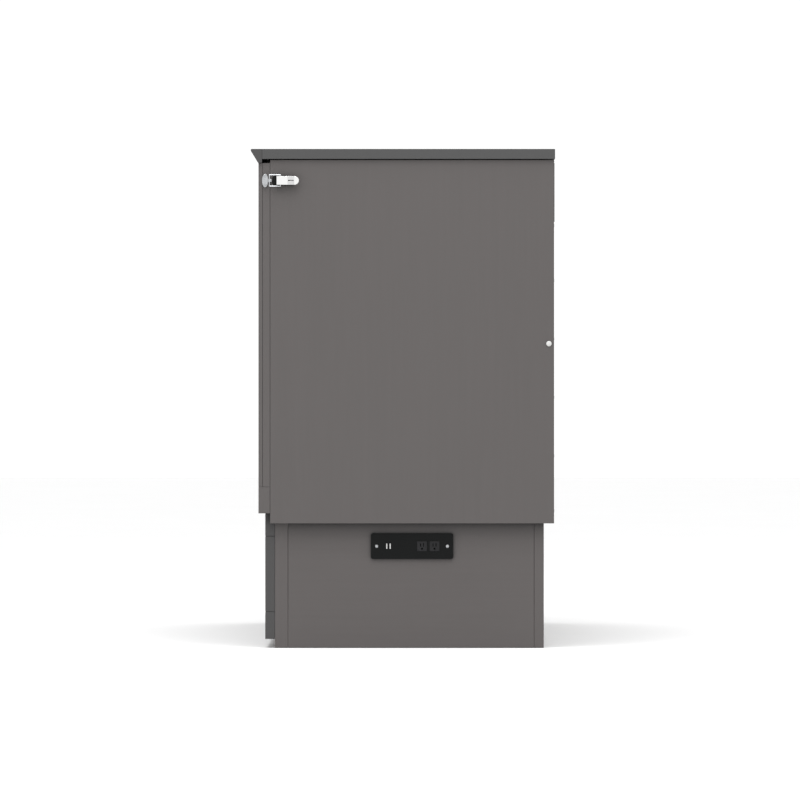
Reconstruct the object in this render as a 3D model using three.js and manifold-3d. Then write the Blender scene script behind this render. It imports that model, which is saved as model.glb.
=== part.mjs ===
// A cabinet bed: a low chest whose front unfolds, in three hinged sections, into a bed.
//
// Millimetres. +Z is up, the front faces -Y, and X runs along the chest's width.
// The origin is on the floor, under the middle of the closed chest.
// Left is -X and right is +X, as seen by someone who stands in front of the chest.

import * as THREE from "three";
import { mergeVertices } from "three/addons/utils/BufferGeometryUtils.js";
import Module from "manifold-3d";

const wasm = await Module();
wasm.setup();

// ---------------------------------------------------------------- driving dimensions

const GAP = 0.3; // between pieces that touch
const EASE = 0.4; // chamfer of a board's edges

// Depths: front-to-back places, as Y
const CROWN_FRONT = -328.5;
const LID_REAR = 328.5;
const DOOR_FRONT = -311.3;
const OVERLAY_THICK = 8.6;
const DOOR_THICK = 24.8;
const DOOR_BACK = DOOR_FRONT + DOOR_THICK;
const CABINET_FRONT = DOOR_BACK + GAP;
const CABINET_REAR = 326.4;
const RAIL_REAR = 327.8; // the rear top rail stands a little proud
const BACK_PANEL_THICK = 10;
const BACK_INNER = CABINET_REAR - BACK_PANEL_THICK;

// Heights, as Z
const LID_TOP = 1076.6;
const LID_UNDER = 1055;
const CROWN_BOTTOM = 1046.8;
const CROWN_NOSE = 1072.5;
const CROWN_LIP = 7.6;
const CROWN_DEPTH = 24.8;
const SIDE_TOP = 1053.1;
const SIDE_BOTTOM = 269;
const DOOR_TOP = 1046.4;
const DOOR_JOINT = 347.5; // joint between the door and its bottom rail
const DOOR_BOTTOM = 290.6;

// Widths, as half of the whole, on either side of X = 0
const LID_HALF = 822;
const SIDE_OUTER = 815;
const SIDE_THICK = 18;
const SIDE_INNER = SIDE_OUTER - SIDE_THICK;
const BASE_OUTER = 795;
const MATTRESS_HALF = 762; // a 60 in (1524 mm) queen mattress

// Base and drawer
const BASE_FRONT = -276.2;
const BASE_REAR = 304.6;
const FRONT_POST = 28;
const REAR_POST = 20.6;
const POST_THICK = 25;
const BASE_SIDE_THICK = 16;
const BASE_SIDE_INSET = 0.4;
const BASE_SIDE_BOTTOM = 0.4; // the posts carry the chest
const BASE_BACK_BOTTOM = 12;
const BASE_BACK_INSET = 2;
const BOLT_CAP_Y = 315.4;
const BOLT_CAP_Z = 656.6;
const DECK_BOTTOM = 288.3;
const DECK_TOP = 304;
const DRAWER_FRONT_Y = -297.1;
const DRAWER_FRONT_THICK = 20.6;
const DRAWER_FRONT_BOTTOM = 18.9;
const DRAWER_FRONT_TOP = 289.9;
const DRAWER_GROOVES = [78, 241];
const DRAWER_HALF = 750;
const DRAWER_DEPTH = 540;
const DRAWER_WALL = 15;
const DRAWER_BOX_BOTTOM = 40;
const DRAWER_BOX_TOP = 240;
const SLIDE_BOTTOM = 128;
const SLIDE_TOP = 172;

// Folding bed, in its closed position
const STACK_BOTTOM = 325; // lower ends of the sections
const STACK_TOP = 1000;
const FRAME_THICK = 30;
const MATTRESS_THICK = 149; // a 6 in (150 mm) mattress, with a little room
const FOLD_GAP = 30; // between the head and middle frames, where the middle legs hang
const HEAD_PIVOT_Y = BACK_INNER - 186;
const HEAD_PIVOT_Z = STACK_BOTTOM + 80;
const HEAD_FRAME_HALF = 785;
const FOLD_HINGE_Z = STACK_TOP + 3;
const FOLD_HINGE_Y = HEAD_PIVOT_Y - FRAME_THICK / 2 - FOLD_GAP / 2;
const MID_FRAME_BACK = FOLD_HINGE_Y - FOLD_GAP / 2;
const MID_FRAME_FRONT = MID_FRAME_BACK - FRAME_THICK;
const FOOT_PIVOT_Y = MID_FRAME_FRONT - MATTRESS_THICK - 3.5;
const FOOT_PIVOT_Z = STACK_BOTTOM - 3;
const FOOT_FRAME_BACK = FOOT_PIVOT_Y - MATTRESS_THICK - 4;
const FOOT_FRAME_HALF = 770.6;
const PLATFORM_BORDER = 60;
const PLATFORM_SLAT = 46;
const PLATFORM_GRID = [3, 7]; // columns and rows of slots
const MATTRESS_CORNER = 30;
const MATTRESS_EASE = 12;
const MATTRESS_SEAT = 0.5; // between a platform and its mattress
const HEAD_PIN_RADIUS = 6;
const ARM_THICK = 7;
const ARM_RADIUS = 10;
const ARM_PIN_RADIUS = 5;
// How far the foot pivot is above the head pivot when the bed is unfolded
const FOOT_PIVOT_RISE = 2 * FOLD_HINGE_Y - FOOT_PIVOT_Y - HEAD_PIVOT_Y;

// Legs
const LEG_WIDTH = 70;
const LEG_PIN_RADIUS = 4;
const CHEEK_THICK = 5; // of the carrier's cheeks on both sides of a middle leg
const MID_LEG_THICK = 20;
const MID_LEG_X = 640;
const MID_LEG_AXIS_Z = STACK_BOTTOM + 66;
const MID_LEG_LENGTH = HEAD_PIVOT_Z - FRAME_THICK / 2 - FOLD_GAP / 2 - 1;
const FOOT_LEG_WIDTH = 84;
const FOOT_LEG_X = 262;
const FOOT_LEG_THICK = 23;
const FOOT_LEG_AXIS_Y = DOOR_FRONT + DOOR_THICK / 2;
const FOOT_LEG_AXIS_Z = 970;
const FOOT_LEG_LENGTH = HEAD_PIVOT_Z + FOOT_PIVOT_RISE - (FOOT_PIVOT_Y - FOOT_LEG_AXIS_Y) - 1;

// Door face: a raised frame around tall upper fields and low lower fields
const STILE = 74;
const TOP_RAIL = 58;
const MID_RAIL = 60;
const LOW_RAIL = 46;
const LEG_SLOT_CLEARANCE = 1.2;
const FIELD_COVE = 3;

// Lid hinge
const LID_HINGE_Y = 325;
const LID_HINGE_Z = 1051.35;
const LID_HINGE_RADIUS = 3.2;
const RAIL_TOP = 1047.7;
const RAIL_HEIGHT = 127.7;
const RAIL_THICK = 20;

// Latches, on both side panels near the top front corner; standoffs are from the side panel's face
const LATCH_Z = 1008.4;
const LATCH_PLATE_THICK = 2;
const LATCH_PIN_RADIUS = 1.6;
const PIN_CLEARANCE = 0.3;
const BARREL_RADIUS = 2.8;
const BARREL_HALF = 4.2; // half of a barrel's height
const LEVER_AXIS_Y = -268.5;
const LEVER_AXIS_STANDOFF = 6;
const LEVER_REAR_Y = -224;
const LEVER_HALF = 9.2;
const LEVER_SLIT = [-247.6, -235.4];
const BAIL_AXIS_Y = -263.8;
const BAIL_FRONT_Y = -287.5;
const BAIL_STANDOFF = 10.4;
const BAIL_WIRE = 1.1; // wire radius
const BAIL_HALF = 12.2;
const EAR_GAP = 8.2; // from the latch's middle height to each ear
const EAR_THICK = 1.6;
const EAR_RADIUS = 4.6;
const LEVER_PLATE = [12.3, 14.3]; // the lever plate's inner and outer standoff
const KEEPER_FRONT_Y = -303.8;
const KEEPER_REAR_Y = -290.2;
const KEEPER_HALF = 14.5;
const KEEPER_THICK = 3.2;
const TONGUE_HALF = 3;
const TONGUE = [0.8, 2.4]; // the tongue's inner and outer standoff
const HOOK_FRONT_Y = -285.5;
const HOOK_REAR_Y = -283;

// Outlet, on the right side of the base
const OUTLET_Y = 20;
const OUTLET_Z = 219.5;
const OUTLET_LENGTH = 177;
const OUTLET_HEIGHT = 55;
const OUTLET_THICK = 4.5;
const MODULE_LENGTH = 150;
const MODULE_HEIGHT = 40;
const SOCKET_SIZE = 23;
const SOCKET_DEPTH = 1.2; // from the plate's face down to the sockets' faces
const SOCKET_Y = [41.6, 68.6];
const USB_Y = [-34.6, -27.2];
const USB_WIDTH = 4.6;
const USB_HEIGHT = 13;

// ---------------------------------------------------------------- materials

function finish(color, roughness, metalness = 0) {
  return new THREE.MeshStandardMaterial({ color, roughness, metalness });
}

const MATERIALS = {
  woodSide: finish(0x6e6a69, 0.55),
  woodDark: finish(0x605d5c, 0.55),
  plywood: finish(0xb49a74, 0.7),
  fabric: finish(0xd9d6d0, 0.95),
  steel: finish(0x8d9094, 0.35, 0.9),
  chrome: finish(0xd0d2d4, 0.15, 1),
  blackSteel: finish(0x242424, 0.45, 0.6),
  blackPlastic: finish(0x222222, 0.5),
  greyPlastic: finish(0xc3c3c1, 0.5),
  rubber: finish(0x1b1b1b, 0.9),
};

// ---------------------------------------------------------------- geometry helpers

const bed = new THREE.Group();

function addMesh(name, material, geometry) {
  const mesh = new THREE.Mesh(geometry, material.clone());
  mesh.name = name;
  bed.add(mesh);
  return mesh;
}

// A manifold-3d solid from a closed three.js geometry.
function solid(geometry) {
  const bare = geometry.clone();
  bare.deleteAttribute("normal");
  bare.deleteAttribute("uv");
  const merged = mergeVertices(bare, 1e-3);
  return new wasm.Manifold(
    new wasm.Mesh({
      numProp: 3,
      vertProperties: new Float32Array(merged.attributes.position.array),
      triVerts: new Uint32Array(merged.index.array),
    }),
  );
}

function fromSolid(manifold) {
  const mesh = manifold.getMesh();
  const geometry = new THREE.BufferGeometry();
  geometry.setAttribute("position", new THREE.BufferAttribute(mesh.vertProperties, 3));
  geometry.setIndex(new THREE.BufferAttribute(mesh.triVerts, 1));
  geometry.computeVertexNormals();
  return geometry;
}

function union(...geometries) {
  return fromSolid(geometries.map(solid).reduce((whole, piece) => whole.add(piece)));
}

function cut(geometry, ...tools) {
  return fromSolid(tools.map(solid).reduce((rest, tool) => rest.subtract(tool), solid(geometry)));
}

function box([x0, x1], [y0, y1], [z0, z1]) {
  const geometry = new THREE.BoxGeometry(x1 - x0, y1 - y0, z1 - z0);
  return geometry.translate((x0 + x1) / 2, (y0 + y1) / 2, (z0 + z1) / 2);
}

// A rectangle from (u0, v0) to (u1, v1) with round corners.
function roundedShape(u0, u1, v0, v1, radius) {
  const shape = new THREE.Shape();
  shape.absarc(u1 - radius, v0 + radius, radius, -Math.PI / 2, 0);
  shape.absarc(u1 - radius, v1 - radius, radius, 0, Math.PI / 2);
  shape.absarc(u0 + radius, v1 - radius, radius, Math.PI / 2, Math.PI);
  shape.absarc(u0 + radius, v0 + radius, radius, Math.PI, Math.PI * 1.5);
  shape.closePath();
  return shape;
}

function rectangle(u0, u1, v0, v1) {
  return new THREE.Shape([
    new THREE.Vector2(u0, v0),
    new THREE.Vector2(u1, v0),
    new THREE.Vector2(u1, v1),
    new THREE.Vector2(u0, v1),
  ]);
}

// The three extrusions name the plane that the shape is drawn in.
function extrude(shape, low, high, { ease = 0, curveSegments = 2, bevelSegments = 2, basis }) {
  const geometry = new THREE.ExtrudeGeometry(shape, {
    depth: high - low - 2 * ease,
    bevelEnabled: ease > 0,
    bevelThickness: ease,
    bevelSize: ease,
    bevelOffset: -ease,
    bevelSegments,
    curveSegments,
  });
  geometry.translate(0, 0, low + ease);
  return geometry.applyMatrix4(basis);
}

const AXIS_X = new THREE.Vector3(1, 0, 0);
const AXIS_Y = new THREE.Vector3(0, 1, 0);
const AXIS_Z = new THREE.Vector3(0, 0, 1);
const SHAPE_YZ = new THREE.Matrix4().makeBasis(AXIS_Y, AXIS_Z, AXIS_X);
const SHAPE_XZ = new THREE.Matrix4().makeBasis(AXIS_X, AXIS_Z, AXIS_Y.clone().negate());
const SHAPE_XY = new THREE.Matrix4();

function alongX(shape, x0, x1, options = {}) {
  return extrude(shape, x0, x1, { ...options, basis: SHAPE_YZ });
}

function alongY(shape, y0, y1, options = {}) {
  return extrude(shape, -y1, -y0, { ...options, basis: SHAPE_XZ });
}

function alongZ(shape, z0, z1, options = {}) {
  return extrude(shape, z0, z1, { ...options, basis: SHAPE_XY });
}

// A board whose edges are eased all round; its thin direction is the extrusion's.
// An ease of 1 mm or less is a plain chamfer.
function board([x0, x1], [y0, y1], [z0, z1], ease = EASE) {
  const size = [x1 - x0, y1 - y0, z1 - z0];
  const thin = size.indexOf(Math.min(...size));
  const corner = ease * 1.2;
  const segments = ease > 1 ? 2 : 1;
  const options = { ease, curveSegments: segments, bevelSegments: segments };
  if (thin === 0) return alongX(roundedShape(y0, y1, z0, z1, corner), x0, x1, options);
  if (thin === 1) return alongY(roundedShape(x0, x1, z0, z1, corner), y0, y1, options);
  return alongZ(roundedShape(x0, x1, y0, y1, corner), z0, z1, options);
}

// A round bar along X between x0 and x1.
function barX(x0, x1, y, z, radius, segments = 16) {
  const geometry = new THREE.CylinderGeometry(radius, radius, x1 - x0, segments);
  return geometry.rotateZ(Math.PI / 2).translate((x0 + x1) / 2, y, z);
}

// A round bar along Z between z0 and z1.
function barZ(z0, z1, x, y, radius, segments = 16) {
  const geometry = new THREE.CylinderGeometry(radius, radius, z1 - z0, segments);
  return geometry.rotateX(Math.PI / 2).translate(x, y, (z0 + z1) / 2);
}

// Both sides of the chest: SIDES.forEach(([side, s]) => ...), with s = -1 on the left.
const SIDES = [
  ["left", -1],
  ["right", 1],
];

// The X range between two distances from the middle, on side s.
function span(s, near, far) {
  return s > 0 ? [near, far] : [-far, -near];
}

// ---------------------------------------------------------------- cabinet

function buildCabinet() {
  for (const [side, s] of SIDES) {
    const x = span(s, SIDE_INNER, SIDE_OUTER);
    const panel = board(x, [CABINET_FRONT, CABINET_REAR], [SIDE_BOTTOM, SIDE_TOP]);
    addMesh(`side_panel_${side}`, MATERIALS.woodSide, panel);
  }
  const inner = [-SIDE_INNER + GAP, SIDE_INNER - GAP];
  const railBottom = RAIL_TOP - RAIL_HEIGHT;
  addMesh(
    "rear_top_rail",
    MATERIALS.woodSide,
    board(inner, [RAIL_REAR - RAIL_THICK, RAIL_REAR], [railBottom, RAIL_TOP]),
  );
  addMesh(
    "back_panel",
    MATERIALS.woodDark,
    board(inner, [BACK_INNER, CABINET_REAR], [DECK_BOTTOM, railBottom - GAP], 1),
  );
  addMesh(
    "base_deck",
    MATERIALS.plywood,
    board(inner, [BASE_FRONT + 1, BACK_INNER - GAP], [DECK_BOTTOM, DECK_TOP], 1),
  );
}

// A round cap over each bolt that fastens the back to a side panel.
function buildBoltCaps() {
  const profile = [
    new THREE.Vector2(0, 0),
    new THREE.Vector2(6, 0),
    new THREE.Vector2(5.6, 1),
    new THREE.Vector2(4, 1.9),
    new THREE.Vector2(0, 2.3),
  ];
  for (const [side, s] of SIDES) {
    const cap = new THREE.LatheGeometry(profile, 18);
    cap.rotateZ((-s * Math.PI) / 2).translate(s * (SIDE_OUTER + GAP), BOLT_CAP_Y, BOLT_CAP_Z);
    addMesh(`bolt_cap_${side}`, MATERIALS.greyPlastic, cap);
  }
}

function buildBase() {
  const top = DECK_BOTTOM - GAP;
  const panelFront = BASE_FRONT + FRONT_POST + GAP;
  const panelRear = BASE_REAR - REAR_POST - GAP;
  for (const [side, s] of SIDES) {
    const post = span(s, BASE_OUTER - POST_THICK, BASE_OUTER);
    const front = board(post, [BASE_FRONT, BASE_FRONT + FRONT_POST], [0, top]);
    const rear = board(post, [BASE_REAR - REAR_POST, BASE_REAR], [0, top]);
    addMesh(`base_post_front_${side}`, MATERIALS.woodSide, front);
    addMesh(`base_post_rear_${side}`, MATERIALS.woodSide, rear);

    const far = BASE_OUTER - BASE_SIDE_INSET;
    const x = span(s, far - BASE_SIDE_THICK, far);
    let panel = board(x, [panelFront, panelRear], [BASE_SIDE_BOTTOM, top]);
    if (s > 0) panel = cut(panel, moduleCutout(x));
    addMesh(`base_side_${side}`, MATERIALS.woodSide, panel);
  }
  const backHalf = BASE_OUTER - POST_THICK - GAP;
  addMesh(
    "base_back",
    MATERIALS.woodDark,
    board(
      [-backHalf, backHalf],
      [BASE_REAR - REAR_POST + BASE_BACK_INSET, BASE_REAR - BASE_BACK_INSET],
      [BASE_BACK_BOTTOM, top],
      1,
    ),
  );
}

// ---------------------------------------------------------------- outlet

function moduleCutout([x0, x1]) {
  return box(
    [x0 - 1, x1 + 1],
    [OUTLET_Y - MODULE_LENGTH / 2 - 1, OUTLET_Y + MODULE_LENGTH / 2 + 1],
    [OUTLET_Z - MODULE_HEIGHT / 2 - 1, OUTLET_Z + MODULE_HEIGHT / 2 + 1],
  );
}

// A box that cuts a window of the outlet plate, at its middle height.
function window(x, y, width, height) {
  const z = [OUTLET_Z - height / 2, OUTLET_Z + height / 2];
  return box(x, [y - width / 2, y + width / 2], z);
}

function buildOutlet() {
  const plateInner = BASE_OUTER - BASE_SIDE_INSET + GAP;
  const plate = roundedShape(
    OUTLET_Y - OUTLET_LENGTH / 2,
    OUTLET_Y + OUTLET_LENGTH / 2,
    OUTLET_Z - OUTLET_HEIGHT / 2,
    OUTLET_Z + OUTLET_HEIGHT / 2,
    4,
  );
  const thickness = [plateInner, plateInner + OUTLET_THICK];
  const through = [thickness[0] - 1, thickness[1] + 1];
  const windows = [
    ...SOCKET_Y.map((y) => window(through, y, SOCKET_SIZE, SOCKET_SIZE)),
    ...USB_Y.map((y) => window(through, y, USB_WIDTH, USB_HEIGHT)),
  ];
  const plateGeometry = cut(alongX(plate, ...thickness, { ease: 0.8 }), ...windows);
  addMesh("outlet_plate", MATERIALS.blackPlastic, plateGeometry);

  // The module behind the plate: its body, and the two socket faces that fill the plate's windows.
  const bodyInner = DRAWER_HALF + 6;
  let module = solid(
    box(
      [bodyInner, plateInner - GAP],
      [OUTLET_Y - MODULE_LENGTH / 2, OUTLET_Y + MODULE_LENGTH / 2],
      [OUTLET_Z - MODULE_HEIGHT / 2, OUTLET_Z + MODULE_HEIGHT / 2],
    ),
  );
  const half = SOCKET_SIZE / 2 - 0.5;
  const face = plateInner + OUTLET_THICK - SOCKET_DEPTH;
  for (const y of SOCKET_Y) {
    const sides = [OUTLET_Z - half, OUTLET_Z + half];
    module = module.add(solid(box([plateInner - 2, face], [y - half, y + half], sides)));
    module = module.subtract(solid(socketSlots(y, face)));
  }
  addMesh("power_module", MATERIALS.blackPlastic, fromSolid(module));
}

// The two blade slots and the round earth hole of one socket face.
function socketSlots(y, face) {
  const depth = [face - 9, face + 1];
  return union(
    box(depth, [y - 4.1, y - 2.3], [OUTLET_Z - 1, OUTLET_Z + 6]),
    box(depth, [y + 2.3, y + 4.1], [OUTLET_Z - 1, OUTLET_Z + 6.8]),
    barX(depth[0], depth[1], y, OUTLET_Z - 5.6, 2.3, 12),
  );
}

// ---------------------------------------------------------------- lid

function buildLid() {
  const boardFront = CROWN_FRONT + CROWN_DEPTH + GAP;
  const lid = board([-LID_HALF, LID_HALF], [boardFront, LID_REAR], [LID_UNDER, LID_TOP]);
  addMesh("lid_board", MATERIALS.woodSide, lid);

  // Crown moulding: a bevel that leans in from the nose down to a thin lip over the door's face.
  const lipBack = DOOR_FRONT + CROWN_LIP;
  const back = CROWN_FRONT + CROWN_DEPTH;
  const crown = new THREE.Shape();
  crown.moveTo(back, LID_TOP);
  crown.lineTo(CROWN_FRONT + 3, LID_TOP);
  crown.quadraticCurveTo(CROWN_FRONT, LID_TOP, CROWN_FRONT + 0.6, CROWN_NOSE);
  crown.lineTo(DOOR_FRONT, CROWN_BOTTOM);
  crown.lineTo(lipBack, CROWN_BOTTOM);
  crown.lineTo(lipBack, LID_UNDER);
  crown.lineTo(back, LID_UNDER);
  crown.closePath();
  const crownGeometry = alongX(crown, -LID_HALF, LID_HALF, { curveSegments: 6 });
  addMesh("lid_crown", MATERIALS.woodDark, crownGeometry);

  const strip = board(
    [-SIDE_INNER, SIDE_INNER],
    [DOOR_BACK - 8.5, DOOR_BACK - 2.5],
    [DOOR_TOP + 1.2, LID_UNDER - GAP],
    0.8,
  );
  addMesh("lid_bumper_strip", MATERIALS.rubber, strip);
}

// ---------------------------------------------------------------- hinges

// One leaf of a long hinge: a flat strip, with a knuckle and its lug at each place in `knuckles`.
// The leaf with a pin holds the pin; the other leaf's knuckles are bored for it.
function hingeLeaf({ y, z, radius, strip, lug, knuckles, half, pinRadius, hasPin }) {
  let leaf = solid(box([-half, half], strip.y, strip.z));
  for (const [x0, x1] of knuckles) {
    leaf = leaf.add(solid(box([x0, x1], lug.y, lug.z)));
    leaf = leaf.add(solid(barX(x0, x1, y, z, radius)));
  }
  const pinHalf = half - 2;
  if (hasPin) {
    leaf = leaf.add(solid(barX(-pinHalf, pinHalf, y, z, pinRadius, 12)));
  } else {
    leaf = leaf.subtract(solid(barX(-half - 1, half + 1, y, z, pinRadius + 0.4, 12)));
  }
  return fromSolid(leaf);
}

// Knuckle places along a hinge of half length `half`: even ones for one leaf, odd ones for the other.
function knucklePlaces(half, count, parity) {
  const pitch = (2 * half) / count;
  const places = [];
  for (let i = parity; i < count; i += 2) {
    places.push([-half + i * pitch + 0.4, -half + (i + 1) * pitch - 0.4]);
  }
  return places;
}

function buildLidHinge() {
  const shared = { y: LID_HINGE_Y, z: LID_HINGE_Z, radius: LID_HINGE_RADIUS, pinRadius: 1.4, half: 770 };
  const reach = LID_HINGE_Y - LID_HINGE_RADIUS - 0.6;
  const fixedZ = [RAIL_TOP + 0.2, RAIL_TOP + 1.6];
  const movingZ = [LID_UNDER - 1.8, LID_UNDER - 0.2];
  const fixed = {
    ...shared,
    strip: { y: [RAIL_REAR - RAIL_THICK + 2, reach], z: fixedZ },
    lug: { y: [reach - 1, LID_HINGE_Y], z: fixedZ },
    knuckles: knucklePlaces(shared.half, 9, 0),
    hasPin: true,
  };
  const moving = {
    ...shared,
    strip: { y: [RAIL_REAR - RAIL_THICK + 2, reach], z: movingZ },
    lug: { y: [reach - 1, LID_HINGE_Y], z: movingZ },
    knuckles: knucklePlaces(shared.half, 9, 1),
    hasPin: false,
  };
  addMesh("lid_hinge_fixed_leaf", MATERIALS.steel, hingeLeaf(fixed));
  addMesh("lid_hinge_moving_leaf", MATERIALS.steel, hingeLeaf(moving));
}

// The hinge between the head and middle frames stands above their upper ends, midway between them.
function buildFoldHinge() {
  const shared = { y: FOLD_HINGE_Y, z: FOLD_HINGE_Z, radius: 5, pinRadius: 2.5, half: 700 };
  const lugZ = [FOLD_HINGE_Z - 7, FOLD_HINGE_Z - 0.6];
  const reach = FOLD_GAP / 2 - GAP;
  const leafZ = [STACK_TOP - 60, FOLD_HINGE_Z - 0.6];
  const headLeaf = {
    ...shared,
    strip: { y: [FOLD_HINGE_Y + reach - 3, FOLD_HINGE_Y + reach], z: leafZ },
    lug: { y: [FOLD_HINGE_Y, FOLD_HINGE_Y + reach - 1], z: lugZ },
    knuckles: knucklePlaces(shared.half, 7, 0),
    hasPin: true,
  };
  const midLeaf = {
    ...shared,
    strip: { y: [FOLD_HINGE_Y - reach, FOLD_HINGE_Y - reach + 3], z: leafZ },
    lug: { y: [FOLD_HINGE_Y - reach + 1, FOLD_HINGE_Y], z: lugZ },
    knuckles: knucklePlaces(shared.half, 7, 1),
    hasPin: false,
  };
  addMesh("fold_hinge_head_leaf", MATERIALS.steel, hingeLeaf(headLeaf));
  addMesh("fold_hinge_mid_leaf", MATERIALS.steel, hingeLeaf(midLeaf));
}

// ---------------------------------------------------------------- folding bed

// A platform board, pierced by rows of long slots that leave slats between them.
function platform(half, y0, y1) {
  const [columns, rows] = PLATFORM_GRID;
  const border = PLATFORM_BORDER;
  const web = PLATFORM_SLAT / 2;
  const pitchX = (2 * half - 2 * border) / columns;
  const pitchZ = (STACK_TOP - STACK_BOTTOM - 2 * border) / rows;
  const slots = [];
  for (let column = 0; column < columns; column += 1) {
    for (let row = 0; row < rows; row += 1) {
      const x = -half + border + column * pitchX;
      const z = STACK_BOTTOM + border + row * pitchZ;
      const across = [x + web, x + pitchX - web];
      slots.push(box(across, [y0 - 1, y1 + 1], [z + web, z + pitchZ - web]));
    }
  }
  return cut(box([-half, half], [y0, y1], [STACK_BOTTOM, STACK_TOP]), ...slots);
}

function cushion(y0, y1) {
  const shape = roundedShape(
    -MATTRESS_HALF,
    MATTRESS_HALF,
    STACK_BOTTOM + 2,
    STACK_TOP,
    MATTRESS_CORNER,
  );
  return alongY(shape, y0, y1, { ease: MATTRESS_EASE, curveSegments: 3 });
}

function buildBedSections() {
  const headFront = HEAD_PIVOT_Y - FRAME_THICK / 2;
  const headBack = HEAD_PIVOT_Y + FRAME_THICK / 2;
  const head = platform(HEAD_FRAME_HALF, headFront, headBack);
  const bores = SIDES.map(([, s]) => {
    const [x0, x1] = span(s, HEAD_FRAME_HALF - 24, HEAD_FRAME_HALF + 1);
    return barX(x0, x1, HEAD_PIVOT_Y, HEAD_PIVOT_Z, HEAD_PIN_RADIUS + 0.6);
  });
  addMesh("head_frame", MATERIALS.plywood, cut(head, ...bores));
  const headFace = headBack + MATTRESS_SEAT;
  addMesh("mattress_head", MATERIALS.fabric, cushion(headFace, headFace + MATTRESS_THICK));

  addMesh("mid_frame", MATERIALS.plywood, platform(MATTRESS_HALF, MID_FRAME_FRONT, MID_FRAME_BACK));
  const midFace = MID_FRAME_FRONT - MATTRESS_SEAT;
  addMesh("mattress_mid", MATERIALS.fabric, cushion(midFace - MATTRESS_THICK, midFace));

  const footFront = DOOR_BACK + GAP;
  addMesh("foot_frame", MATERIALS.plywood, platform(FOOT_FRAME_HALF, footFront, FOOT_FRAME_BACK));
  const footFace = FOOT_FRAME_BACK + MATTRESS_SEAT;
  addMesh("mattress_foot", MATERIALS.fabric, cushion(footFace, footFace + MATTRESS_THICK));
}

// Steel arms carry the pivot between middle and foot sections out to the plane where their mattresses meet.
function buildPivotArms() {
  const z = FOOT_PIVOT_Z;
  for (const [side, s] of SIDES) {
    const midX = span(s, MATTRESS_HALF + GAP, MATTRESS_HALF + GAP + ARM_THICK);
    const midPlate = alongX(armShape(MID_FRAME_BACK - 4), ...midX, { curveSegments: 8 });
    const pinX = span(s, MATTRESS_HALF + GAP + 1, FOOT_FRAME_HALF + GAP + ARM_THICK);
    const pin = barX(...pinX, FOOT_PIVOT_Y, z, ARM_PIN_RADIUS);
    addMesh(`mid_arm_${side}`, MATERIALS.steel, union(midPlate, pin));

    const footX = span(s, FOOT_FRAME_HALF + GAP, FOOT_FRAME_HALF + GAP + ARM_THICK);
    const footPlate = alongX(armShape(DOOR_BACK + 3), ...footX, { curveSegments: 8 });
    const holeX = span(s, FOOT_FRAME_HALF, FOOT_FRAME_HALF + 2 * ARM_THICK);
    const hole = barX(...holeX, FOOT_PIVOT_Y, z, ARM_PIN_RADIUS + 0.4);
    addMesh(`foot_arm_${side}`, MATERIALS.steel, cut(footPlate, hole));
  }
}

// A flat arm from the frame at y = far to the pivot: a wide foot that steps down to a bar with a round end.
function armShape(far) {
  const out = Math.sign(far - FOOT_PIVOT_Y);
  const neck = far - out * 44;
  const low = FOOT_PIVOT_Z - 1;
  const high = FOOT_PIVOT_Z + 70;
  const barTop = FOOT_PIVOT_Z + ARM_RADIUS;
  const shape = new THREE.Shape();
  if (out > 0) {
    shape.absarc(FOOT_PIVOT_Y, FOOT_PIVOT_Z, ARM_RADIUS, Math.PI / 2, Math.PI * 1.5);
    shape.lineTo(neck, low);
    shape.lineTo(far, low);
    shape.lineTo(far, high);
    shape.lineTo(far - 30, high);
    shape.lineTo(neck, barTop);
  } else {
    shape.absarc(FOOT_PIVOT_Y, FOOT_PIVOT_Z, ARM_RADIUS, -Math.PI / 2, Math.PI / 2);
    shape.lineTo(neck, barTop);
    shape.lineTo(far + 30, high);
    shape.lineTo(far, high);
    shape.lineTo(far, low);
    shape.lineTo(neck, low);
  }
  shape.closePath();
  return shape;
}

// Each bracket has a plate on the side panel, the head section's pivot pin, and a stop shelf above its tail.
function buildHeadPivots() {
  for (const [side, s] of SIDES) {
    const plate = box(
      span(s, SIDE_INNER - GAP - 4, SIDE_INNER - GAP),
      [HEAD_PIVOT_Y - 26, HEAD_PIVOT_Y + 84],
      [HEAD_PIVOT_Z - 30, HEAD_PIVOT_Z + 34],
    );
    const pinX = span(s, HEAD_FRAME_HALF - 20, SIDE_INNER - GAP - 1);
    const pin = barX(...pinX, HEAD_PIVOT_Y, HEAD_PIVOT_Z, HEAD_PIN_RADIUS);
    const shelf = box(
      span(s, MATTRESS_HALF + 7, SIDE_INNER - GAP - 1),
      [HEAD_PIVOT_Y + 34, HEAD_PIVOT_Y + 76],
      [HEAD_PIVOT_Z + FRAME_THICK / 2 + 0.6, HEAD_PIVOT_Z + FRAME_THICK / 2 + 6],
    );
    addMesh(`head_pivot_bracket_${side}`, MATERIALS.steel, union(plate, pin, shelf));
  }
}

// ---------------------------------------------------------------- legs

// A leg board with a round end at its hinge axis and a square foot at the other end.
// direction is +1 for a leg that stands up from its axis when folded, -1 for one that hangs down.
function legShape(y, z, thick, length, direction) {
  const r = thick / 2;
  const end = z + direction * length;
  const shape = new THREE.Shape();
  if (direction > 0) {
    shape.absarc(y, z, r, Math.PI, Math.PI * 2);
    shape.lineTo(y + r, end);
    shape.lineTo(y - r, end);
  } else {
    shape.absarc(y, z, r, 0, Math.PI);
    shape.lineTo(y - r, end);
    shape.lineTo(y + r, end);
  }
  shape.closePath();
  return shape;
}

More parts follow.
